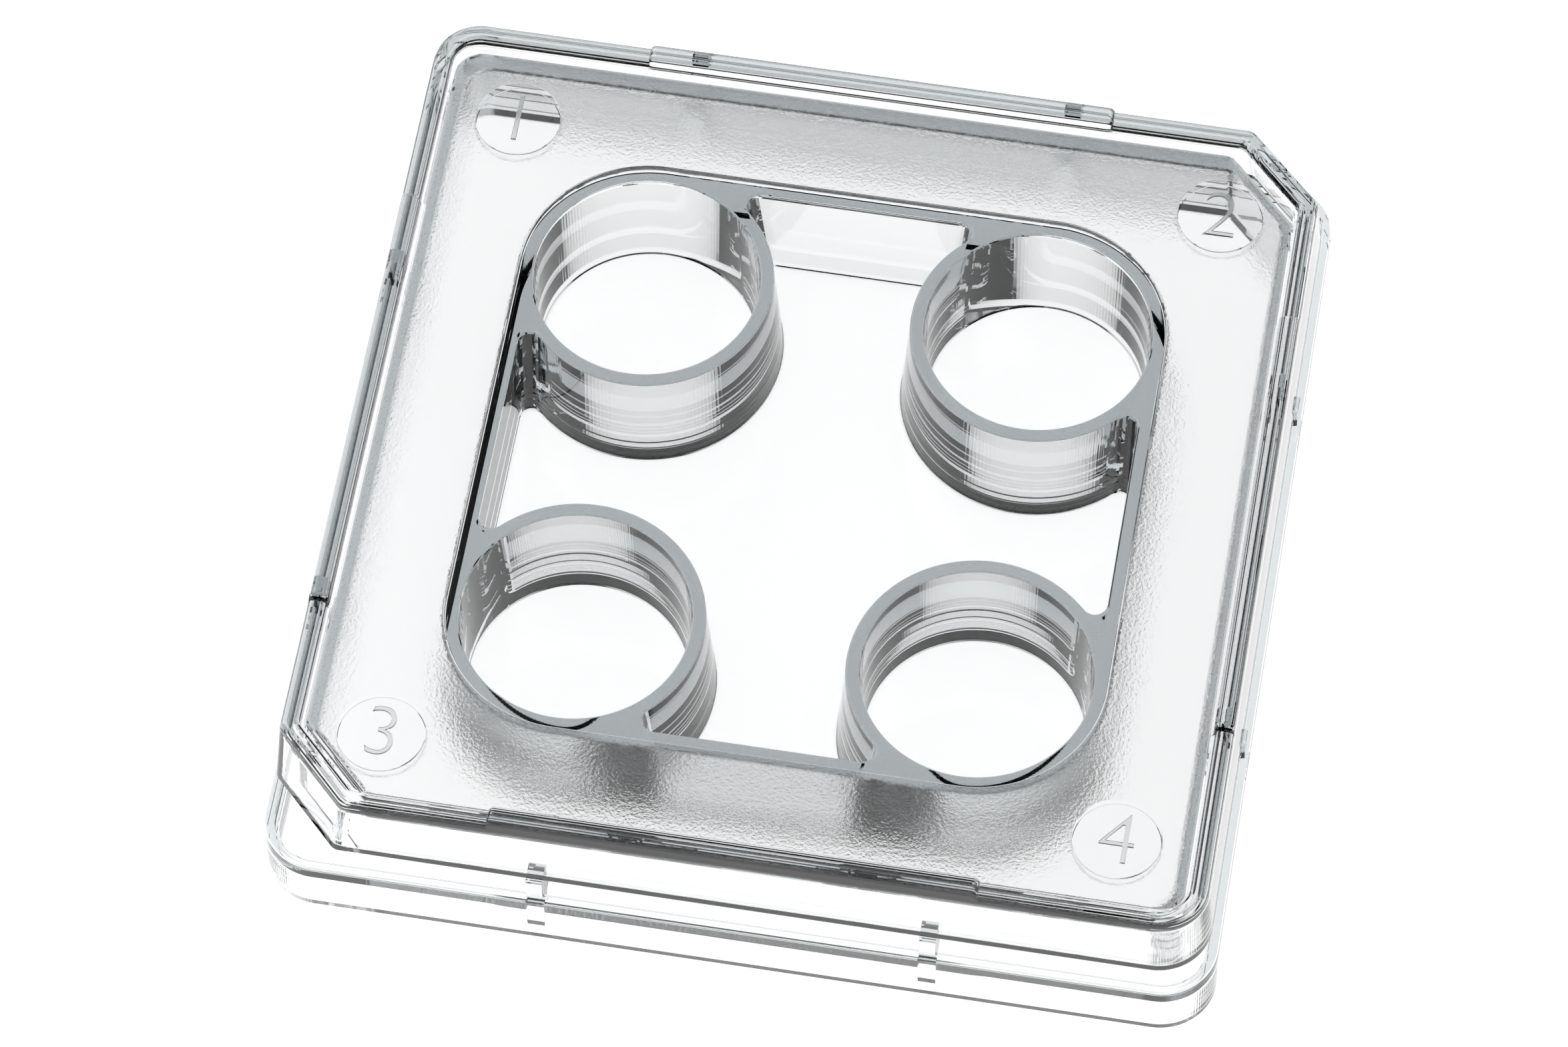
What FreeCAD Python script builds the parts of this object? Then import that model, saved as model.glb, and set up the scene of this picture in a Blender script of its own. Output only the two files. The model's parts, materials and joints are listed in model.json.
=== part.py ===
import FreeCAD, Part
import os
import Sketcher

# Four-well culture dish with its vented lid, in millimetres.
# Two clear polystyrene mouldings: the dish (foot, wall, deck, wells, floor) and the lid.
# Each node is one zone of a moulding. Zones of one moulding meet face to face.
# Origin: centre of the square the foot stands on. +Z is up, +Y points to wells 1 and 2.

DIMENSIONS = [
    # foot of the dish
    ("foot_half", 33.0),           # half width over the foot, the widest part of the object
    ("foot_radius", 4.0),
    ("foot_wall", 0.9),
    ("flange_bottom", 3.15),
    ("flange_top", 4.05),
    ("lip_top", 5.05),
    ("lip_inner_half", 32.2),
    # outer wall and deck
    ("wall_foot_half", 30.7),      # half width where the wall leaves the flange
    ("wall_top_half", 30.45),      # half width at the deck
    ("wall_thickness", 0.75),
    ("wall_radius", 2.0),          # rounded corners, by wells 1 and 4
    ("wall_chamfer", 5.15),        # cut corners, by wells 2 and 3
    ("corner_round", 0.8),         # where a cut corner meets the sides
    ("deck_bottom", 10.1),
    ("deck_top", 11.3),            # a step above the well rims
    # wells, reservoir and floor
    ("well_centre", 13.9),         # well centres from the middle, along X and along Y
    ("well_rim_radius", 8.0),
    ("well_floor_radius", 7.71),
    ("well_outer_rim_radius", 8.95),
    ("well_outer_floor_radius", 9.55),
    ("reservoir_half", 21.92),     # inner faces of the four straight walls
    ("rim_top", 10.91),
    ("floor_bottom", 0.86),
    ("floor_top", 1.86),
    # number discs in the corners of the deck
    ("disc_centre", 25.2),
    ("disc_radius", 3.05),
    ("disc_rise", 0.1),            # above and below the deck
    # rests that hold the lid off the flange, so that air passes under its skirt
    ("rest_offset", 13.5),         # from the middle of each side
    ("rest_width", 1.2),
    ("rest_outer", 32.6),
    ("rest_top", 7.1),
    ("gusset_inner", 31.2),        # stiffeners inside the foot, one under each rest
    ("gusset_bottom", 1.15),
    # lid
    ("lid_bottom", 7.15),
    ("lid_plate_bottom", 11.6),
    ("lid_plate_top", 12.25),
    ("ridge_top", 13.1),
    ("lid_bottom_half", 32.36),
    ("lid_top_half", 31.9),
    ("lid_radius", 3.3),
    ("lid_chamfer", 5.2),
    ("skirt_inner_half", 31.5),    # inner face of the skirt at its lower edge
    ("skirt_inner_top_half", 31.15),
    ("skirt_inner_radius", 2.5),
    ("skirt_inner_chamfer", 4.7),
    ("ridge_inner_half", 30.63),
    ("ridge_inner_radius", 2.1),
    ("ridge_inner_chamfer", 4.5),
    # stacking bars on the ridge, one along the middle of each side
    ("bar_length", 33.4),
    ("bar_inner", 30.5),
    ("bar_top", 13.6),
    ("bar_round", 0.6),
]

doc = FreeCAD.newDocument("four_well_dish")
sheet = doc.addObject("Spreadsheet::Sheet", "Dimensions")
for row, (alias, value) in enumerate(DIMENSIONS, start=1):
    sheet.set("A%d" % row, alias)
    sheet.set("B%d" % row, str(value))
    sheet.setAlias("B%d" % row, alias)
doc.recompute()

# Corners as (name, side in X, side in Y), numbered like the wells they stand by.
CORNERS = [("1", -1, 1), ("2", 1, 1), ("3", -1, -1), ("4", 1, -1)]
SIDES = ["right", "back", "left", "front"]
# The two rests of one side stand either side of its middle.
PLACES = [("low", "-1"), ("high", "1")]


def cell(text):
    """An expression in which every name of the sheet stands for its cell."""
    words = text.split(" ")
    aliases = [alias for alias, value in DIMENSIONS]
    return " ".join("Dimensions." + word if word in aliases else word for word in words)


def polygon_sketch(body, plane_role, points):
    """A closed sketch on an origin plane, each corner placed by a pair of expressions."""
    sketch = body.newObject("Sketcher::SketchObject", body.Label + "_sketch")
    plane = [p for p in body.Origin.OriginFeatures if p.Role == plane_role][0]
    sketch.AttachmentSupport = [(plane, "")]
    sketch.MapMode = "FlatFace"
    count = len(points)
    for index in range(count):
        start = FreeCAD.Vector(index, index * index, 0)
        following = (index + 1) % count
        end = FreeCAD.Vector(following, following * following, 0)
        sketch.addGeometry(Part.LineSegment(start, end), False)
    for index in range(count):
        joined = Sketcher.Constraint("Coincident", index, 2, (index + 1) % count, 1)
        sketch.addConstraint(joined)
    for index, (across, along) in enumerate(points):
        for kind, text in (("DistanceX", across), ("DistanceY", along)):
            number = sketch.addConstraint(Sketcher.Constraint(kind, -1, 1, index, 1, 1.0))
            sketch.setExpression("Constraints[%d]" % number, cell(text))
    return sketch


def rectangle(x_low, x_high, y_low, y_high):
    return [(x_low, y_low), (x_high, y_low), (x_high, y_high), (x_low, y_high)]


def side_limits(side, inner, outer, low, high):
    """Limits in X and Y of a rectangle on one side of the square, inner to outer across it."""
    limits = {
        "right": (inner, outer, low, high),
        "left": ("0 - ( %s )" % outer, "0 - ( %s )" % inner, low, high),
        "back": (low, high, inner, outer),
        "front": (low, high, "0 - ( %s )" % outer, "0 - ( %s )" % inner),
    }
    return limits[side]


def upright_edges(shape, cut_side):
    """Upright edges in the cut corners (X and Y of one sign) or in the rounded corners."""
    names = []
    for index, edge in enumerate(shape.Edges, start=1):
        first = edge.Vertexes[0].Point
        last = edge.Vertexes[-1].Point
        upright = abs(last.z - first.z) > 0.9 * edge.Length
        if upright and (first.x * first.y > 0) == cut_side:
            names.append("Edge%d" % index)
    return names


def dress(body, kind, base, edges, size_name, size):
    """A fillet or chamfer on edges of the last feature, its size bound to the sheet."""
    feature = body.newObject("PartDesign::" + kind, "%s_%s" % (body.Label, size_name))
    feature.Base = (base, edges)
    feature.setExpression("Radius" if kind == "Fillet" else "Size", cell(size))
    doc.recompute()
    return feature


def plug(label, half, half_above, bottom, top, radius=None, chamfer=None):
    """A block on a square that drafts from one half width to another, with its corners.

    Two corners are rounded and two are cut at 45 degrees. Without a chamfer size all
    four are rounded alike, and without a radius they stay sharp.
    """
    body = doc.addObject("PartDesign::Body", label)
    body.Label = label
    low = "0 - ( %s )" % half
    sketch = polygon_sketch(body, "XY_Plane", rectangle(low, half, low, half))
    feature = body.newObject("PartDesign::Pad", label + "_pad")
    feature.Profile = sketch
    feature.setExpression("Length", cell("%s - %s" % (top, bottom)))
    slope = "( ( %s ) - ( %s ) ) / ( %s - %s )" % (half_above, half, top, bottom)
    feature.setExpression("TaperAngle", cell("atan( %s )" % slope))
    doc.recompute()
    if chamfer:
        edges = upright_edges(feature.Shape, True)
        feature = dress(body, "Chamfer", feature, edges, "cut_corners", chamfer)
        edges = upright_edges(feature.Shape, True)
        feature = dress(body, "Fillet", feature, edges, "eased_cuts", "corner_round")
        edges = upright_edges(feature.Shape, False)
    else:
        edges = upright_edges(feature.Shape, True) + upright_edges(feature.Shape, False)
    if radius:
        dress(body, "Fillet", feature, edges, "rounded_corners", radius)
    body.setExpression("Placement.Base.z", cell(bottom))
    return body


def box(label, x_low, x_high, y_low, y_high, bottom, top):
    """A plain block from its six limits, given as expressions."""
    block = doc.addObject("Part::Box", label)
    block.Label = label
    spans = [("Length", "x", x_low, x_high), ("Width", "y", y_low, y_high), ("Height", "z", bottom, top)]
    for size, axis, low, high in spans:
        block.setExpression(size, cell("( %s ) - ( %s )" % (high, low)))
        block.setExpression("Placement.Base." + axis, cell(low))
    return block


def side_box(label, side, inner, outer, middle, width, bottom, top):
    """A block on one side of the square: inner to outer across it, its middle along it."""
    low = "%s - %s / 2" % (middle, width)
    high = "%s + %s / 2" % (middle, width)
    return box(label, *side_limits(side, inner, outer, low, high), bottom, top)


# Limits that lie well outside the object on both sides.
BEYOND = ("0 - 2 * foot_half", "2 * foot_half")


def slab(label, bottom, top):
    """A layer wider than the object, used to take one level out of a block."""
    return box(label, *BEYOND, *BEYOND, bottom, top)


def cut(label, base, tool):
    result = doc.addObject("Part::Cut", label)
    result.Label = label
    result.Base = base
    result.Tool = tool
    return result


def common(label, base, tool):
    result = doc.addObject("Part::Common", label)
    result.Label = label
    result.Base = base
    result.Tool = tool
    return result


def fuse(label, shapes):
    result = doc.addObject("Part::MultiFuse", label)
    result.Label = label
    result.Shapes = shapes
    return result


def upright_cone(label, lower_radius, upper_radius, bottom, top, side_x, side_y, offset):
    """A cone or cylinder standing at one of the four corners, its limits as expressions."""
    cone = doc.addObject("Part::Cone", label)
    cone.Label = label
    cone.setExpression("Radius1", cell(lower_radius))
    cone.setExpression("Radius2", cell(upper_radius))
    cone.setExpression("Height", cell("( %s ) - ( %s )" % (top, bottom)))
    cone.setExpression("Placement.Base.x", cell("%d * %s" % (side_x, offset)))
    cone.setExpression("Placement.Base.y", cell("%d * %s" % (side_y, offset)))
    cone.setExpression("Placement.Base.z", cell(bottom))
    return cone


# The finished nodes, in the order in which they are made.
nodes = []


# ------------------------------------------------------------ foot of the dish
# A thin skirt stands on the table and carries the flange. The flange's edge turns up
# into a low lip, which keeps the lid from sliding off its rests.
foot_block = plug("foot_block", "foot_half", "foot_half", "0", "lip_top", "foot_radius")
foot_hollow = plug("foot_hollow", "foot_half - foot_wall", "foot_half - foot_wall",
                   "0", "flange_bottom", "foot_radius - foot_wall")
foot_layer = common("foot_layer", foot_block, slab("foot_slab", "0", "flange_bottom"))
gussets = []
for side in SIDES:
    for place, sign in PLACES:
        gussets.append(side_box("gusset_%s_%s" % (side, place), side,
                                "gusset_inner", "foot_half - foot_wall / 2",
                                sign + " * rest_offset", "rest_width",
                                "gusset_bottom", "flange_bottom"))
foot_ring = cut("foot_ring", foot_layer, foot_hollow)
nodes.append(fuse("foot_skirt", [foot_ring] + gussets))

wall_block = plug("wall_block", "wall_foot_half", "wall_top_half", "flange_top", "deck_top",
                  "wall_radius", "wall_chamfer")
wall_hollow = plug("wall_hollow", "wall_foot_half - wall_thickness",
                   "wall_top_half - wall_thickness", "flange_top", "deck_top",
                   "wall_radius - wall_thickness / 2", "wall_chamfer - wall_thickness / 2")
flange_opening = plug("flange_opening", "wall_foot_half - wall_thickness",
                      "wall_foot_half - wall_thickness", "flange_bottom", "lip_top",
                      "wall_radius - wall_thickness / 2", "wall_chamfer - wall_thickness / 2")
flange_layer = common("flange_layer", foot_block, slab("flange_slab", "flange_bottom", "flange_top"))
nodes.append(cut("base_flange", flange_layer, flange_opening))

lip_layer = common("lip_layer", foot_block, slab("lip_slab", "flange_top", "lip_top"))
lip_hollow = plug("lip_hollow", "lip_inner_half", "lip_inner_half", "flange_top", "lip_top",
                  "foot_radius - ( foot_half - lip_inner_half )")
lip = cut("base_lip", lip_layer, lip_hollow)
nodes.append(lip)


# --------------------------------------------------------- outer wall and rests
# The wall rises from the flange to the deck. Beside it stand the rests of the lid.
wall_layer = common("wall_layer", wall_block, slab("wall_slab", "flange_top", "deck_bottom"))
nodes.append(cut("body_wall", wall_layer, wall_hollow))

rest_keep_out = fuse("rest_keep_out", [wall_block, lip])
for side in SIDES:
    for place, sign in PLACES:
        rest = side_box("rest_block_%s_%s" % (side, place), side,
                        "wall_top_half", "rest_outer", sign + " * rest_offset", "rest_width",
                        "flange_top", "rest_top")
        nodes.append(cut("lid_rest_%s_%s" % (side, place), rest, rest_keep_out))


# -------------------------------------------------- wells, reservoir and floor
# Four wells stand in the corners of a square reservoir and share one flat floor.
pocket_plug = plug("pocket_plug", "well_centre + well_outer_floor_radius",
                   "well_centre + well_outer_rim_radius", "floor_top", "rim_top")
outer_cones = []
for number, side_x, side_y in CORNERS:
    outer = upright_cone("well_outer_" + number, "well_outer_floor_radius", "well_outer_rim_radius",
                         "floor_top", "rim_top", side_x, side_y, "well_centre")
    inner = upright_cone("well_inner_" + number, "well_floor_radius", "well_rim_radius",
                         "floor_top", "rim_top", side_x, side_y, "well_centre")
    outer_cones.append(outer)
    nodes.append(cut("well_" + number, outer, inner))
all_wells = fuse("all_wells", outer_cones)

walls = []
for side in SIDES:
    strip = side_box("wall_strip_" + side, side, "reservoir_half", "foot_half", "0", "2 * well_centre",
                     "floor_top", "rim_top")
    drafted = common("wall_drafted_" + side, pocket_plug, strip)
    wall = cut("pocket_wall_" + side, drafted, all_wells)
    walls.append(wall)
    nodes.append(wall)

floor = plug("floor_plate", "well_centre + well_outer_floor_radius",
             "well_centre + well_outer_floor_radius", "floor_bottom", "floor_top",
             "well_outer_floor_radius")
nodes.append(floor)


# ---------------------------------------------------------- deck and its discs
# The frosted deck closes the space between the wells' outer walls and the dish's wall.
# A clear disc in each corner carries the number of the well.
deck_layer = common("deck_layer", wall_block, slab("deck_slab", "deck_bottom", "deck_top"))
steps = []
for number, side_x, side_y in CORNERS:
    steps.append(upright_cone("step_" + number, "well_outer_rim_radius", "well_outer_rim_radius",
                              "rim_top", "deck_top", side_x, side_y, "well_centre"))
reach = "well_centre + well_outer_rim_radius"
for name, limit_x, limit_y in (("x", reach, "well_centre"), ("y", "well_centre", reach)):
    steps.append(box("step_" + name, "0 - ( %s )" % limit_x, limit_x,
                     "0 - ( %s )" % limit_y, limit_y, "rim_top", "deck_top"))
between_wells = ("0 - well_centre", "well_centre")
for name, limits in (("x", BEYOND + between_wells), ("y", between_wells + BEYOND)):
    strip = box("strip_" + name, *limits, "floor_top", "rim_top")
    steps.append(common("span_" + name, pocket_plug, strip))
discs = []
for number, side_x, side_y in CORNERS:
    discs.append(upright_cone("number_disc_" + number, "disc_radius", "disc_radius",
                              "deck_bottom - disc_rise", "deck_top + disc_rise",
                              side_x, side_y, "disc_centre"))
nodes.extend(discs)
deck_openings = fuse("deck_openings", [all_wells] + steps + discs)
nodes.append(cut("deck", deck_layer, deck_openings))


# ------------------------------------------------------------------------- lid
# One moulding: plate, skirt, the ridge round the top and the bars that stand on it.
lid_block = plug("lid_block", "lid_bottom_half", "lid_top_half", "lid_bottom", "ridge_top",
                 "lid_radius", "lid_chamfer")
skirt_hollow = plug("skirt_hollow", "skirt_inner_half", "skirt_inner_top_half",
                    "lid_bottom", "lid_plate_bottom", "skirt_inner_radius", "skirt_inner_chamfer")
skirt_layer = common("skirt_layer", lid_block, slab("skirt_slab", "lid_bottom", "lid_plate_bottom"))
nodes.append(cut("lid_skirt", skirt_layer, skirt_hollow))

nodes.append(common("lid_plate", lid_block, slab("plate_slab", "lid_plate_bottom", "lid_plate_top")))

ridge_layer = common("ridge_layer", lid_block, slab("ridge_slab", "lid_plate_top", "ridge_top"))
ridge_hollow = plug("ridge_hollow", "ridge_inner_half", "ridge_inner_half",
                    "lid_plate_top", "ridge_top", "ridge_inner_radius", "ridge_inner_chamfer")
nodes.append(cut("lid_ridge", ridge_layer, ridge_hollow))

for side in SIDES:
    label = "lid_bar_" + side
    body = doc.addObject("PartDesign::Body", label)
    body.Label = label
    outline = side_limits(side, "bar_inner", "lid_top_half", "0 - bar_length / 2", "bar_length / 2")
    sketch = polygon_sketch(body, "XY_Plane", rectangle(*outline))
    feature = body.newObject("PartDesign::Pad", label + "_pad")
    feature.Profile = sketch
    feature.setExpression("Length", cell("bar_top - ridge_top"))
    doc.recompute()
    edges = upright_edges(feature.Shape, True) + upright_edges(feature.Shape, False)
    dress(body, "Fillet", feature, edges, "round_ends", "bar_round")
    body.setExpression("Placement.Base.z", cell("ridge_top"))
    nodes.append(body)


# ---------------------------------------------------------------------- export
doc.recompute()
for item in doc.Objects:
    if "Invalid" in item.State or "Error" in item.State:
        raise RuntimeError(item.Label + " did not compute")

os.makedirs("parts", exist_ok=True)
for node in nodes:
    if node.Shape.isNull() or not node.Shape.isValid() or not node.Shape.Solids:
        raise RuntimeError(node.Label + " has no valid solid")
    node.Shape.exportStep("parts/%s.step" % node.Label)
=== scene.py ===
import json
import math
import bmesh
import bpy
import numpy as np
from mathutils import Matrix, Vector
from mathutils.geometry import delaunay_2d_cdt


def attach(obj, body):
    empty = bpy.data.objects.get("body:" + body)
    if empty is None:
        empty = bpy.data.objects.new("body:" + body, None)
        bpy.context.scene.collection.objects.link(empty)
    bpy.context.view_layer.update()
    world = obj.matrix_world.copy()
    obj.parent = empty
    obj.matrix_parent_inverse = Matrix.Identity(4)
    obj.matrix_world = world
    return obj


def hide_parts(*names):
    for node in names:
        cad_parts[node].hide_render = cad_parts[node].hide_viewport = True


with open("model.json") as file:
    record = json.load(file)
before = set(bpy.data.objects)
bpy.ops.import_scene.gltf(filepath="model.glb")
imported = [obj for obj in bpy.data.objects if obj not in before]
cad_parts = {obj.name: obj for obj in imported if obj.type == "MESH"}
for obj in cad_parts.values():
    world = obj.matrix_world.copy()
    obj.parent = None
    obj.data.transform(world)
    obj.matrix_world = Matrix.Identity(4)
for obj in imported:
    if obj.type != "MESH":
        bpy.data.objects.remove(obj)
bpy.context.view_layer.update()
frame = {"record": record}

# ------------------------------------------------------------------ viewpoint
# The dish stands on a table and is looked at from high in front, turned a little.
# A long lens from half a metre keeps the near and far sides nearly the same size.
MM = 0.001
LENS_MM = 173.95
EYE = Vector((45.80, -264.91, 461.43)) * MM
ROTATION_VECTOR = Vector((2.6027, 0.2162, -0.0674))

camera_data = bpy.data.cameras.new("camera")
camera_data.lens = LENS_MM
camera_data.sensor_width = 36.0
camera_data.clip_start = 0.01
camera = bpy.data.objects.new("camera", camera_data)
bpy.context.scene.collection.objects.link(camera)
into_view = Matrix.Rotation(ROTATION_VECTOR.length, 3, ROTATION_VECTOR.normalized())
axes = Matrix((into_view[0], -into_view[1], -into_view[2])).transposed()
camera.matrix_world = Matrix.Translation(EYE) @ axes.to_4x4()
bpy.context.scene.camera = camera


# ------------------------------------------------------------ table and light
# A plain pale table top under one broad soft lamp. The room round it is dim, so clear
# plastic stays bright where light comes straight through, and its edges turn dark. The
# table top also carries painted light: it glows of itself, brightest under the dish and
# less further off, a painted pool of light.
def srgb(code):
    """Linear red, green and blue of an sRGB hex colour."""
    value = np.array([int(code[i:i + 2], 16) for i in (1, 3, 5)]) / 255.0
    linear = np.where(value <= 0.04045, value / 12.92, ((value + 0.055) / 1.055) ** 2.4)
    return (*linear.tolist(), 1.0)


def add_node(material, kind, settings=(), links=()):
    """Adds a shader node, sets its inputs or properties by name, and joins its inputs."""
    node = material.node_tree.nodes.new(kind)
    for name, value in dict(settings).items():
        if name in node.inputs:
            node.inputs[name].default_value = value
        else:
            setattr(node, name, value)
    for name, source in dict(links).items():
        material.node_tree.links.new(source, node.inputs[name])
    return node


def new_material(name):
    material = bpy.data.materials.new(name)
    material.use_nodes = True
    material.node_tree.nodes.clear()
    return material


TABLE_HALF = 1.5
AIR_UNDER_FOOT = 0.03 * MM
table_mesh = bpy.data.meshes.new("table_top")
corners = np.array([(-1, -1, 0), (1, -1, 0), (1, 1, 0), (-1, 1, 0)]) * TABLE_HALF
corners[:, 2] = -AIR_UNDER_FOOT
table_mesh.from_pydata(corners.tolist(), [], [(0, 1, 2, 3)])
table_top = bpy.data.objects.new("table_top", table_mesh)
bpy.context.scene.collection.objects.link(table_top)
laminate = new_material("white_laminate_painted_glow")
where = add_node(laminate, "ShaderNodeTexCoord")
distance = add_node(laminate, "ShaderNodeVectorMath", {"operation": "LENGTH"},
                    {"Vector": where.outputs["Object"]})
# Painted pool of light: the table's own glow, strongest under the dish and fading outwards.
painted_glow = add_node(laminate, "ShaderNodeMapRange",
                {"From Min": 0.06, "From Max": 0.30, "To Min": 1.25, "To Max": 0.30,
                 "interpolation_type": "SMOOTHSTEP"}, {"Value": distance.outputs["Value"]})
surface = add_node(laminate, "ShaderNodeBsdfPrincipled",
                   {"Base Color": srgb("#fbfbfb"), "Roughness": 0.9,
                    "Emission Color": srgb("#ffffff")}, {"Emission Strength": painted_glow.outputs["Result"]})
add_node(laminate, "ShaderNodeOutputMaterial", links={"Surface": surface.outputs[0]})
table_mesh.materials.append(laminate)

# Brightness of the room by how far one looks away from the lamp, from opposite to straight at it.
ROOM_BANDS = [(0.0, "#050505"), (0.84, "#0b0c0c"), (0.92, "#f4f7f8"), (1.0, "#ffffff")]
LAMP_DIRECTION = (-0.62, 0.26, 0.74)
room = bpy.data.worlds.new("room")
room.use_nodes = True
room.node_tree.nodes.clear()
direction = add_node(room, "ShaderNodeTexCoord")
towards = add_node(room, "ShaderNodeVectorMath", {"operation": "DOT_PRODUCT"},
                   {"Vector": direction.outputs["Generated"]})
towards.inputs[1].default_value = LAMP_DIRECTION
bands = add_node(room, "ShaderNodeValToRGB", links={"Fac": towards.outputs["Value"]})
for place, colour in ROOM_BANDS[1:-1]:
    bands.color_ramp.elements.new(place)
for element, (place, colour) in zip(bands.color_ramp.elements, ROOM_BANDS):
    element.position = place
    element.color = srgb(colour)
sky = add_node(room, "ShaderNodeBackground", {"Strength": 1.2}, {"Color": bands.outputs["Color"]})
add_node(room, "ShaderNodeOutputWorld", links={"Surface": sky.outputs[0]})
bpy.context.scene.world = room
bpy.context.scene.view_settings.view_transform = "Standard"


# ---------------------------------------------------------- foot of the dish
# The dish is one clear polystyrene moulding. Its foot is a thin skirt under a flange
# with a raised lip. Eight rests stand on the flange and hold the lid's skirt clear of
# it, and each has a stiffener below the flange.
FOOT_HALF, FOOT_RADIUS = 33.0, 4.0
REST_MIDDLE, REST_HALF_WIDTH = 13.5, 0.6
REST_TOP = 7.10
FLANGE_BOTTOM, FLANGE_TOP, LIP_TOP = 3.15, 4.05, 5.05
BAR_HALF_LENGTH, BAR_END = 16.7, 0.45
WALL_CUT_SUM = 55.75

# Stations along every side: shared by all rings, and doubled up where a rest or a bar
# starts, so that its end faces are upright.
rest_edges = np.array([REST_MIDDLE - REST_HALF_WIDTH, REST_MIDDLE + REST_HALF_WIDTH])
bar_end_stations = BAR_HALF_LENGTH - BAR_END * (1 - np.sin(np.linspace(0, np.pi / 2, 7)))
one_way = np.unique(np.round(np.concatenate([
    np.arange(0.6, 20.1, 0.6), rest_edges - 0.03, rest_edges + 0.03,
    bar_end_stations, [BAR_HALF_LENGTH + 0.01]]), 4))
STATIONS = np.concatenate([-one_way[::-1], [0.0], one_way])
END_STATIONS = 10
CORNER_POINTS = 27


def square_ring(half, cut_sum, rounding, ease=0.9):
    """One loop round the square, anticlockwise from the right-hand side.

    Each side runs straight at the half width. Corners 1 and 4 are quarter circles of
    the given radius. Corners 2 and 3 are cut where x + y equals cut_sum, with a small
    arc of radius ease at both ends of the cut, or are quarter circles if it is None.
    """
    leg = None if cut_sum is None else 2 * half - cut_sum
    tangent = ease * math.tan(math.pi / 8)
    cut_setback = rounding if leg is None else leg + tangent
    pieces = []
    for turn in range(4):
        cut_ahead = turn % 2 == 0 and leg is not None
        behind = cut_setback if turn % 2 == 1 else rounding
        ahead = cut_setback if turn % 2 == 0 else rounding
        low, high = -(half - behind), half - ahead
        first = np.linspace(low, STATIONS[0], END_STATIONS, endpoint=False)
        last = np.linspace(STATIONS[-1], high, END_STATIONS + 1)[1:]
        along = np.concatenate([first, STATIONS, last])
        side = np.stack([np.full_like(along, half), along], 1)
        share = np.linspace(0, 1, CORNER_POINTS + 2)[1:-1]
        if cut_ahead:
            third = CORNER_POINTS // 3
            bend = np.linspace(0, np.pi / 4, third + 1)[1:]
            centre = np.array([half - ease, high])
            near = centre + ease * np.stack([np.cos(bend), np.sin(bend)], 1)
            far = near[::-1, ::-1]
            middle = near[-1] + (far[0] - near[-1]) * np.linspace(0, 1, third + 2)[1:-1, None]
            corner = np.concatenate([near, middle, far])
        else:
            angle = share * np.pi / 2
            centre = half - rounding
            corner = centre + rounding * np.stack([np.cos(angle), np.sin(angle)], 1)
        points = np.concatenate([side, corner])
        for _ in range(turn):
            points = np.stack([-points[:, 1], points[:, 0]], 1)
        pieces.append(points)
    return np.concatenate(pieces)


# What each point of a ring belongs to: how far it is into a rest, and into a bar.
side_stations = np.concatenate([np.full(END_STATIONS, -99.0), STATIONS, np.full(END_STATIONS, 99.0)])
loop_stations = np.tile(np.concatenate([side_stations, np.full(CORNER_POINTS, 99.0)]), 4)
in_rest = (np.abs(np.abs(loop_stations) - REST_MIDDLE) < REST_HALF_WIDTH).astype(float)
into_end = np.clip((np.abs(loop_stations) - BAR_HALF_LENGTH + BAR_END) / BAR_END, 0, 1)
in_bar = np.sqrt(1 - into_end ** 2)


def lift(loop, height):
    """A flat loop of x and y, raised to a height that may differ from point to point."""
    return np.column_stack([loop, np.broadcast_to(height, len(loop))])


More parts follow.
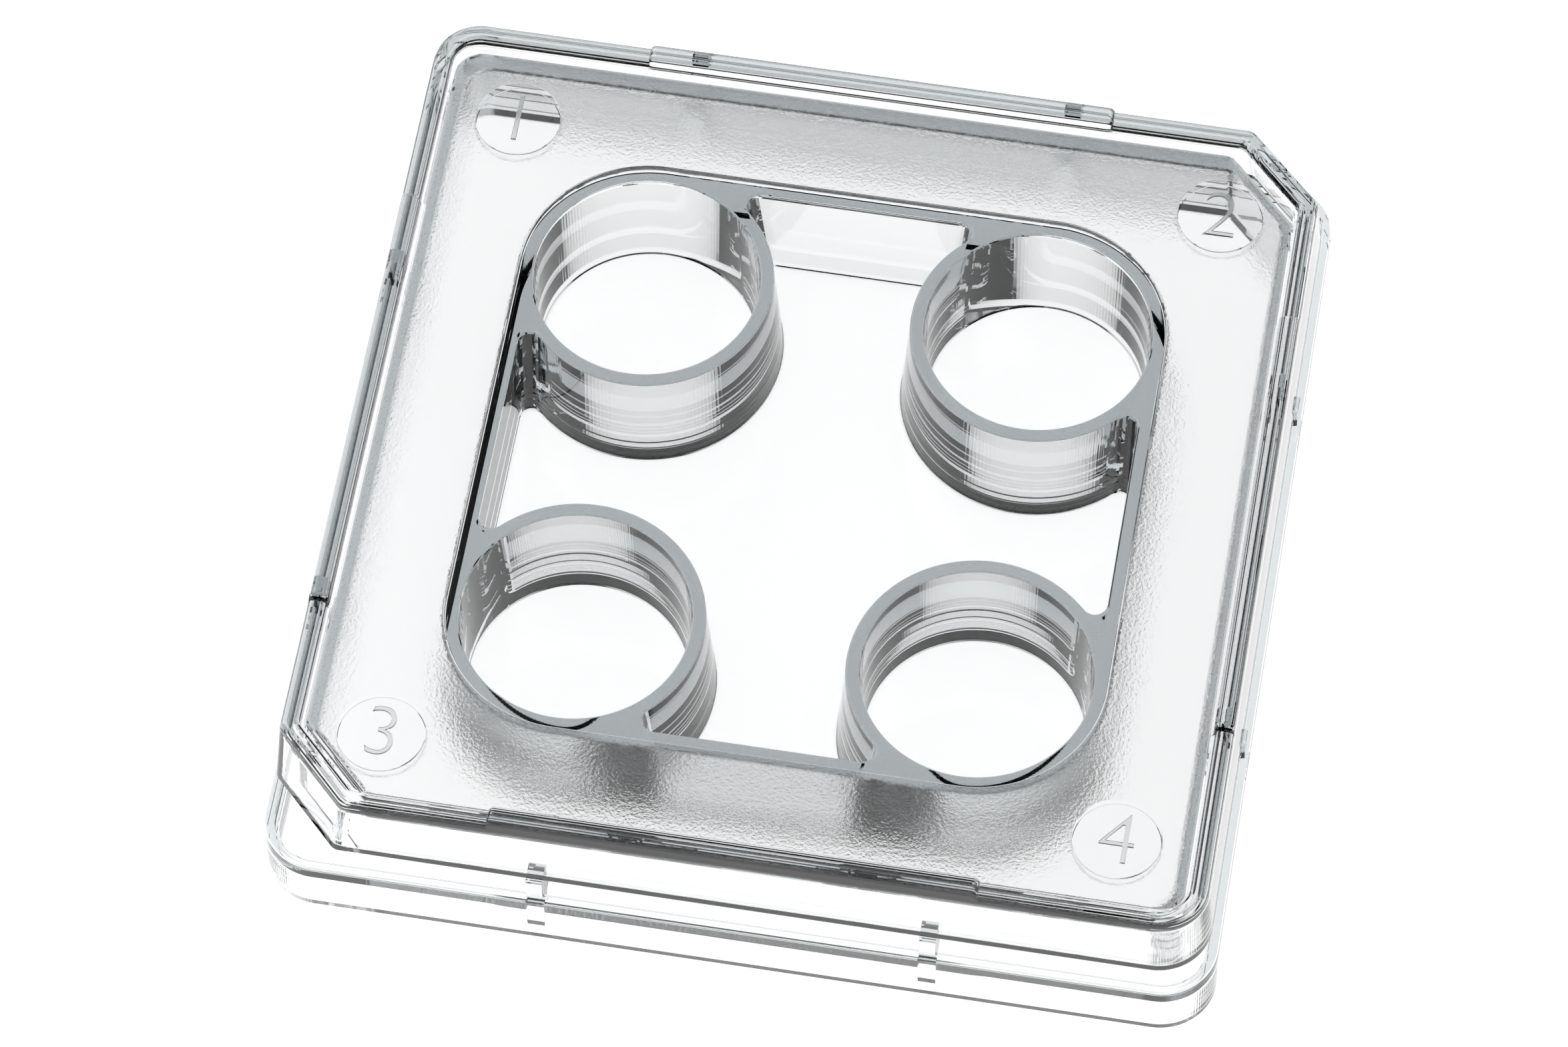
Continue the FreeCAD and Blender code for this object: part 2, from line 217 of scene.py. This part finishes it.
class Moulding:
    """Gathers the skins and flat faces of one moulding, then joins them into one closed mesh."""

    def __init__(self):
        self.points, self.faces, self.frosting = [], [], []
        self.count = 0

    def add(self, points, faces, frosted):
        self.points.append(points)
        self.faces.append(faces + self.count)
        self.frosting.append(np.full(len(faces), frosted))
        self.count += len(points)

    def skin(self, rings, frosted=0):
        """Quads between each closed ring and the next, all with the same number of points."""
        rings = np.asarray(rings)
        rows, columns = rings.shape[:2]
        row = np.arange(rows - 1)[:, None] * columns
        here = np.arange(columns)[None]
        ahead = (here + 1) % columns
        quads = np.stack([row + here, row + ahead, row + columns + ahead, row + columns + here], 2)
        quads = quads.reshape(-1, 4)
        triangles = np.concatenate([quads[:, [0, 1, 2]], quads[:, [0, 2, 3]]])
        self.add(rings.reshape(-1, 3), triangles, frosted)

    def flat(self, height, outline, holes=(), frosted=0):
        """A level face inside an outline and outside its holes, cut into triangles."""
        loops = [outline, *holes]
        points = np.concatenate(loops)
        starts = np.cumsum([0] + [len(loop) for loop in loops])
        edges = []
        for start, loop in zip(starts, loops):
            here = np.arange(len(loop))
            edges.append(np.stack([start + here, start + (here + 1) % len(loop)], 1))
        flat_points = [Vector(p) for p in points]
        flat_edges = [tuple(e) for e in np.concatenate(edges).tolist()]
        found, _, triangles, *_ = delaunay_2d_cdt(flat_points, flat_edges, [], 0, 1e-7)
        found = np.array([tuple(p) for p in found])
        triangles = np.array([f for f in triangles if len(f) == 3])
        middle = found[triangles].mean(1)
        keep = inside(middle, outline)
        for hole in holes:
            keep &= ~inside(middle, hole)
        self.add(lift(found, height), triangles[keep], frosted)

    def finish(self, name, material):
        """One mesh object with the seams welded, every face outwards and its frosting marked."""
        mesh = bpy.data.meshes.new(name)
        points = np.concatenate(self.points) * MM
        mesh.from_pydata(points.tolist(), [], np.concatenate(self.faces).tolist())
        mesh.materials.append(material)
        marks = mesh.attributes.new("frosting", "FLOAT", "FACE")
        marks.data.foreach_set("value", np.concatenate(self.frosting).astype(np.float32))
        work = bmesh.new()
        work.from_mesh(mesh)
        bmesh.ops.remove_doubles(work, verts=work.verts, dist=2e-7)
        bmesh.ops.dissolve_degenerate(work, dist=1e-8, edges=work.edges)
        bmesh.ops.recalc_face_normals(work, faces=work.faces)
        work.to_mesh(mesh)
        work.free()
        moulding = bpy.data.objects.new(name, mesh)
        bpy.context.scene.collection.objects.link(moulding)
        return moulding


def inside(points, loop):
    """Whether each point is inside a closed loop, by counting the edges left of it."""
    x, y = points[:, 0:1], points[:, 1:2]
    x0, y0 = loop[:, 0], loop[:, 1]
    x1, y1 = np.roll(x0, -1), np.roll(y0, -1)
    with np.errstate(divide="ignore", invalid="ignore"):
        crosses = ((y0 > y) != (y1 > y)) & (x < (x1 - x0) * (y - y0) / (y1 - y0) + x0)
    return crosses.sum(1) % 2 == 1


def foot_ring(half, height):
    return lift(square_ring(half, None, FOOT_RADIUS - (FOOT_HALF - half)), height)


def wall_ring(half, height, cut_sum=None, rounding=2.0):
    if cut_sum is None:
        cut_sum = WALL_CUT_SUM + (half - 30.45) * math.sqrt(2)
    return lift(square_ring(half, cut_sum, rounding), height)


def between(plain, special, share):
    """Each point of a ring taken from the plain ring or the special one by its share."""
    return plain + (special - plain) * share[:, None]


dish = Moulding()
foot_skin = [
    # up the inside of the foot, out round its lower edge and up to the lip
    wall_ring(29.70, 9.85, 55.05), wall_ring(29.95, 3.35, 55.40), wall_ring(30.02, 3.20, 55.50),
    wall_ring(30.15, FLANGE_BOTTOM, 55.68),
    between(foot_ring(31.95, FLANGE_BOTTOM), foot_ring(31.20, FLANGE_BOTTOM), in_rest),
    between(foot_ring(32.05, 3.10), foot_ring(31.20, 2.95), in_rest),
    between(foot_ring(32.10, 3.00), foot_ring(31.20, 1.30), in_rest),
    between(foot_ring(32.10, 2.00), foot_ring(31.30, 1.15), in_rest),
    between(foot_ring(32.10, 1.15), foot_ring(32.10, 1.15), in_rest),
    foot_ring(32.10, 0.06), foot_ring(32.12, 0.02), foot_ring(32.16, 0.0),
    foot_ring(32.92, 0.0), foot_ring(32.98, 0.02), foot_ring(FOOT_HALF, 0.08),
    foot_ring(32.997, 0.34), foot_ring(32.93, 4.75), foot_ring(32.90, 4.89),
    foot_ring(32.82, LIP_TOP - 0.05), foot_ring(32.68, LIP_TOP),
    # over the lip, and over the rests where they stand
    between(foot_ring(32.38, LIP_TOP), foot_ring(32.62, LIP_TOP), in_rest),
    between(foot_ring(32.26, LIP_TOP - 0.05), foot_ring(32.60, 5.40), in_rest),
    between(foot_ring(32.20, 4.88), foot_ring(32.60, REST_TOP - 0.15), in_rest),
    between(foot_ring(32.20, 4.30), foot_ring(32.56, REST_TOP - 0.04), in_rest),
    between(foot_ring(32.15, FLANGE_TOP + 0.07), foot_ring(32.45, REST_TOP), in_rest),
    between(foot_ring(31.98, FLANGE_TOP), foot_ring(32.30, REST_TOP), in_rest),
    between(wall_ring(30.95, FLANGE_TOP), wall_ring(30.90, REST_TOP), in_rest),
    between(wall_ring(30.76, FLANGE_TOP + 0.05), wall_ring(30.70, REST_TOP), in_rest),
    between(wall_ring(30.70, FLANGE_TOP + 0.20), wall_ring(30.62, REST_TOP), in_rest),
]


# ---------------------------------------------------- outer wall of the dish
# The wall rises from the flange, slightly drafted, and rolls over into the deck. It
# has the same two cut corners and two rounded corners as the lid that fits over it.
DECK_TOP, DECK_BOTTOM = 11.30, 10.10
foot_skin += [
    wall_ring(30.59, 7.11), wall_ring(30.47, 10.95), wall_ring(30.43, 11.15),
    wall_ring(30.32, 11.27), wall_ring(30.15, DECK_TOP),
]
dish.skin(foot_skin)
wall_inner_top = [foot_skin[0], wall_ring(29.66, DECK_BOTTOM - 0.10, 55.00),
                  wall_ring(29.45, DECK_BOTTOM, 54.85)]
dish.skin(wall_inner_top)


# ------------------------------------------------------ wells and reservoir
# Four wells stand in the corners of a square reservoir and share one flat floor. The
# outer faces of the wells carry the fine steps of the turned mould cores that made them.
WELL_CENTRE = 13.9
WELL_TOP, FLOOR_TOP, FLOOR_BOTTOM = 10.91, 1.86, 0.86
RESERVOIR_HALF = 21.92
CORNERS = {"1": (-1, 1), "2": (1, 1), "3": (-1, -1), "4": (1, -1)}


def circle(radius, centre, count=192):
    """A ring of equal steps round a centre."""
    angle = np.arange(count) / count * 2 * np.pi
    return np.asarray(centre) + radius * np.stack([np.cos(angle), np.sin(angle)], 1)


def pocket_outline(radius, side_points=48, corner_points=48):
    """The outside of the wells and walls: a square whose corners follow the wells."""
    half = WELL_CENTRE + radius
    pieces = []
    for turn in range(4):
        along = np.linspace(-WELL_CENTRE, WELL_CENTRE, side_points)
        angle = np.linspace(0, np.pi / 2, corner_points)[1:-1]
        side = np.stack([np.full_like(along, half), along], 1)
        corner = WELL_CENTRE + radius * np.stack([np.cos(angle), np.sin(angle)], 1)
        points = np.concatenate([side, corner])
        for _ in range(turn):
            points = np.stack([-points[:, 1], points[:, 0]], 1)
        pieces.append(points)
    return np.concatenate(pieces)


def reservoir_outline(radius, half, blend=0.9, side_points=60, corner_points=150):
    """The inside of the reservoir: straight walls that run into the backs of the wells.

    Where a wall meets a well, a small fillet of the blend radius joins them.
    """
    reach = math.sqrt((radius + blend) ** 2 - (half - blend - WELL_CENTRE) ** 2)
    fillet_y = WELL_CENTRE - reach
    fillet_centre = np.array([half - blend, fillet_y])
    lean = math.atan2(WELL_CENTRE - fillet_y, WELL_CENTRE - fillet_centre[0])
    pieces = []
    for turn in range(4):
        along = np.linspace(-fillet_y, fillet_y, side_points)
        side = np.stack([np.full_like(along, half), along], 1)
        bend = np.linspace(0, lean, 10)[1:]
        fillet = fillet_centre + blend * np.stack([np.cos(bend), np.sin(bend)], 1)
        start = lean - np.pi
        sweep = -2 * (start + 3 * np.pi / 4)
        angle = start + sweep * np.linspace(0, 1, corner_points)[1:-1]
        back = WELL_CENTRE + radius * np.stack([np.cos(angle), np.sin(angle)], 1)
        points = np.concatenate([side, fillet, back, fillet[::-1, ::-1]])
        for _ in range(turn):
            points = np.stack([-points[:, 1], points[:, 0]], 1)
        pieces.append(points)
    return np.concatenate(pieces)


core_heights = np.array([10.80, 6.4, 6.2, 5.0, 4.8, 4.0, 3.85, 3.3, 3.2, 2.8, 2.7, 2.4])
core_draft = 8.95 + 0.60 * (WELL_TOP - core_heights) / (WELL_TOP - FLOOR_TOP)
core_steps = np.where(core_heights < 5, 0.005, 0) * (-1.0) ** np.arange(len(core_heights))
reservoir_rings = [
    lift(reservoir_outline(8.82, RESERVOIR_HALF + 0.12), WELL_TOP),
    lift(reservoir_outline(8.91, RESERVOIR_HALF + 0.04), WELL_TOP - 0.03),
]
for height, radius in zip(core_heights, core_draft + core_steps):
    reservoir_rings.append(lift(reservoir_outline(radius, RESERVOIR_HALF), height))
for share in np.linspace(0, np.pi / 2, 7)[1:]:
    out = 0.4 * (1 - math.cos(share))
    down = 0.4 * math.sin(share)
    reservoir_rings.append(lift(reservoir_outline(9.53 + out, RESERVOIR_HALF - out), 2.26 - down))
dish.skin(reservoir_rings)
dish.flat(FLOOR_TOP, reservoir_rings[-1][:, :2])

well_loops = []
for number, (side_x, side_y) in CORNERS.items():
    centre = (side_x * WELL_CENTRE, side_y * WELL_CENTRE)
    profile = [(8.13, WELL_TOP), (8.04, WELL_TOP - 0.03), (8.0, WELL_TOP - 0.12),
               (7.80, 4.4), (7.72, 2.16), (7.70, 2.02), (7.62, 1.91), (7.50, FLOOR_TOP)]
    well_rings = [lift(circle(radius, centre), height) for radius, height in profile]
    dish.skin(well_rings)
    dish.flat(FLOOR_TOP, well_rings[-1][:, :2])
    well_loops.append(well_rings[0][:, :2])

rim_outer = pocket_outline(8.88)
dish.flat(WELL_TOP, rim_outer, [reservoir_rings[0][:, :2], *well_loops])
dish.skin([lift(rim_outer, WELL_TOP), lift(pocket_outline(8.93), WELL_TOP + 0.03),
           lift(pocket_outline(8.95), WELL_TOP + 0.10), lift(pocket_outline(8.97), DECK_TOP - 0.08),
           lift(pocket_outline(9.04), DECK_TOP)])

pocket_rings = [lift(pocket_outline(9.20), DECK_BOTTOM), lift(pocket_outline(9.07), DECK_BOTTOM - 0.10),
                lift(pocket_outline(9.03), DECK_BOTTOM - 0.25), lift(pocket_outline(9.50), 1.5)]
for share in np.linspace(0, np.pi / 2, 6)[1:]:
    pocket_rings.append(lift(pocket_outline(9.50 - 0.5 * (1 - math.cos(share))),
                             1.36 - 0.5 * math.sin(share)))
dish.skin(pocket_rings)
dish.flat(FLOOR_BOTTOM, pocket_rings[-1][:, :2])


# -------------------------------------------------------- deck and its discs
# The deck's upper face is frosted by a textured mould. A clear disc in each corner
# carries the number of the well, in raised digits of the same plastic.
DISC_CENTRE, DISC_RADIUS, DISC_RISE = 25.2, 3.05, 0.1
disc_tops, disc_bottoms = [], []
for number, (side_x, side_y) in CORNERS.items():
    centre = (side_x * DISC_CENTRE, side_y * DISC_CENTRE)
    loop = circle(DISC_RADIUS, centre, 96)
    upper = [lift(loop, DECK_TOP), lift(loop, DECK_TOP + DISC_RISE - 0.04),
             lift(circle(DISC_RADIUS - 0.04, centre, 96), DECK_TOP + DISC_RISE)]
    lower = [lift(loop, DECK_BOTTOM), lift(loop, DECK_BOTTOM - DISC_RISE + 0.04),
             lift(circle(DISC_RADIUS - 0.04, centre, 96), DECK_BOTTOM - DISC_RISE)]
    dish.skin(upper)
    dish.skin(lower)
    dish.flat(DECK_TOP + DISC_RISE, upper[-1][:, :2])
    dish.flat(DECK_BOTTOM - DISC_RISE, lower[-1][:, :2])
    disc_tops.append(loop)
    disc_bottoms.append(loop)
dish.flat(DECK_TOP, foot_skin[-1][:, :2], [pocket_outline(9.04), *disc_tops], frosted=1)
dish.flat(DECK_BOTTOM, wall_inner_top[-1][:, :2], [pocket_outline(9.20), *disc_bottoms])


def polystyrene(name):
    """Injection-moulded polystyrene: hard and glassy, with a cool grey deep in its edges."""
    plastic = new_material(name)
    depth = add_node(plastic, "ShaderNodeVolumeAbsorption", {"Color": srgb("#76858a"), "Density": 115.0})
    surface = add_node(plastic, "ShaderNodeBsdfPrincipled",
                       {"Base Color": srgb("#ffffff"), "Roughness": 0.02, "IOR": 1.59,
                        "Transmission Weight": 1.0})
    add_node(plastic, "ShaderNodeOutputMaterial",
             links={"Surface": surface.outputs[0], "Volume": depth.outputs[0]})
    return plastic, surface


# The deck was moulded against a sandblasted face, and scatters what is seen through it.
dish_polystyrene, surface = polystyrene("clear_and_frosted_polystyrene")
frosting = add_node(dish_polystyrene, "ShaderNodeAttribute", {"attribute_name": "frosting"})
dullness = add_node(dish_polystyrene, "ShaderNodeMapRange", {"To Min": 0.02, "To Max": 0.26},
                 {"Value": frosting.outputs["Fac"]})
place = add_node(dish_polystyrene, "ShaderNodeTexCoord")
grain = add_node(dish_polystyrene, "ShaderNodeTexNoise", {"Scale": 5000.0, "Detail": 2.0},
                 {"Vector": place.outputs["Object"]})
relief = add_node(dish_polystyrene, "ShaderNodeBump", {"Distance": 0.00006},
                  {"Height": grain.outputs["Fac"], "Strength": frosting.outputs["Fac"]})
dish_polystyrene.node_tree.links.new(dullness.outputs["Result"], surface.inputs["Roughness"])
dish_polystyrene.node_tree.links.new(relief.outputs["Normal"], surface.inputs["Normal"])

dish_moulding = dish.finish("dish_moulding", dish_polystyrene)
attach(dish_moulding, "dish")
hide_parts(*frame["record"]["behaviour"]["bodies"]["dish"])

# The digits are drawn thin and a little dull, so that only their edges show.
DIGIT_HEIGHT = 3.7
DIGIT_GAP = 0.01 * MM
digit_polystyrene = new_material("hammered_polystyrene")
surface = add_node(digit_polystyrene, "ShaderNodeBsdfPrincipled",
                   {"Base Color": srgb("#f1f4f4"), "Roughness": 0.22, "IOR": 1.59,
                    "Transmission Weight": 1.0})
add_node(digit_polystyrene, "ShaderNodeOutputMaterial", links={"Surface": surface.outputs[0]})
for number, (side_x, side_y) in CORNERS.items():
    text = bpy.data.curves.new("digit_" + number, "FONT")
    text.body = number
    text.align_x = "CENTER"
    text.align_y = "CENTER"
    text.size = 10 * MM
    text.extrude = 0.05 * MM
    text.offset = -0.22 * MM
    text.bevel_depth = 0.03 * MM
    text_object = bpy.data.objects.new("digit_shape_" + number, text)
    bpy.context.scene.collection.objects.link(text_object)
    shaped = text_object.evaluated_get(bpy.context.evaluated_depsgraph_get())
    mesh = bpy.data.meshes.new_from_object(shaped)
    bpy.data.objects.remove(text_object)
    points = np.empty(len(mesh.vertices) * 3)
    mesh.vertices.foreach_get("co", points)
    points = points.reshape(-1, 3)
    low, high = points.min(0), points.max(0)
    scale = DIGIT_HEIGHT * MM / (high[1] - low[1])
    points[:, :2] = (points[:, :2] - (low[:2] + high[:2]) / 2) * scale
    points[:, :2] += np.array([side_x, side_y]) * DISC_CENTRE * MM
    points[:, 2] += (DECK_TOP + DISC_RISE) * MM + DIGIT_GAP - low[2]
    mesh.vertices.foreach_set("co", points.ravel())
    mesh.materials.clear()
    mesh.materials.append(digit_polystyrene)
    digit = bpy.data.objects.new("digit_" + number, mesh)
    bpy.context.scene.collection.objects.link(digit)
    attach(digit, "dish")


# ------------------------------------------------------------------------ lid
# One clear polystyrene moulding that rests on the dish's stops. A ridge runs round its
# top for stacking, with a low bar along the middle of each side. The skirt hangs outside
# the dish's wall and stops short of the flange.
LID_TOP, LID_BOTTOM = 13.10, 7.15
PLATE_TOP, PLATE_BOTTOM = 12.25, 11.60
BAR_RISE, BAR_OVERHANG = 0.50, 0.13
RIDGE_MIDDLE = 31.2
RIDGE_HALF, RIDGE_CUT_SUM, RIDGE_RADIUS = 31.9, 58.5, 3.3


def lid_ring(half, height, cut_sum, rounding):
    return lift(square_ring(half, cut_sum, rounding, ease=0.9), height)


def ridge_ring(half, height, rise_share):
    """A ring of the ridge, raised where a bar stands on it, and there pushed inwards too
    if it lies on the ridge's inner half."""
    inner_half = half < RIDGE_MIDDLE
    reach = half - BAR_OVERHANG * in_bar * inner_half
    shift = half - reach
    inset = RIDGE_HALF - half
    ring = lid_ring(half, height, RIDGE_CUT_SUM - inset * math.sqrt(2), RIDGE_RADIUS - inset)
    barred = ring.copy()
    for axis in (0, 1):
        on_side = np.abs(np.abs(ring[:, axis]) - half) < 1e-9
        barred[on_side, axis] -= np.sign(ring[on_side, axis]) * shift[on_side]
    barred[:, 2] += BAR_RISE * in_bar * rise_share
    return barred


lid = Moulding()
lid_skin = [
    ridge_ring(30.28, PLATE_TOP, 0), ridge_ring(30.42, PLATE_TOP + 0.03, 0),
    ridge_ring(30.54, PLATE_TOP + 0.11, 0), ridge_ring(30.61, PLATE_TOP + 0.23, 0),
    ridge_ring(30.63, PLATE_TOP + 0.36, 0), ridge_ring(30.64, LID_TOP - 0.36, 0.9),
    ridge_ring(30.68, LID_TOP - 0.22, 1), ridge_ring(30.76, LID_TOP - 0.11, 1),
    ridge_ring(30.88, LID_TOP - 0.03, 1), ridge_ring(31.02, LID_TOP, 1),
    ridge_ring(31.44, LID_TOP, 1), ridge_ring(31.60, LID_TOP - 0.03, 1),
    ridge_ring(31.75, LID_TOP - 0.12, 1), ridge_ring(31.85, LID_TOP - 0.26, 1),
    ridge_ring(31.90, LID_TOP - 0.46, 0.9),
    lid_ring(31.93, 12.6, 58.55, 3.33),
    lid_ring(32.35, 7.30, 59.68, 3.74), lid_ring(32.35, 7.22, 59.68, 3.74),
    lid_ring(32.33, 7.17, 59.65, 3.72), lid_ring(32.28, LID_BOTTOM, 59.58, 3.68),
    lid_ring(31.48, LID_BOTTOM, 58.45, 2.90), lid_ring(31.42, 7.17, 58.37, 2.85),
    lid_ring(31.40, 7.24, 58.34, 2.83), lid_ring(31.15, 11.30, 57.46, 2.55),
    lid_ring(31.10, 11.50, 57.37, 2.50), lid_ring(30.95, PLATE_BOTTOM, 57.16, 2.35),
]
lid.skin(lid_skin)
lid.flat(PLATE_TOP, lid_skin[0][:, :2])
lid.flat(PLATE_BOTTOM, lid_skin[-1][:, :2])
lid_polystyrene, _ = polystyrene("clear_polystyrene")
lid_moulding = lid.finish("lid_moulding", lid_polystyrene)
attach(lid_moulding, "lid")
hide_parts(*frame["record"]["behaviour"]["bodies"]["lid"])
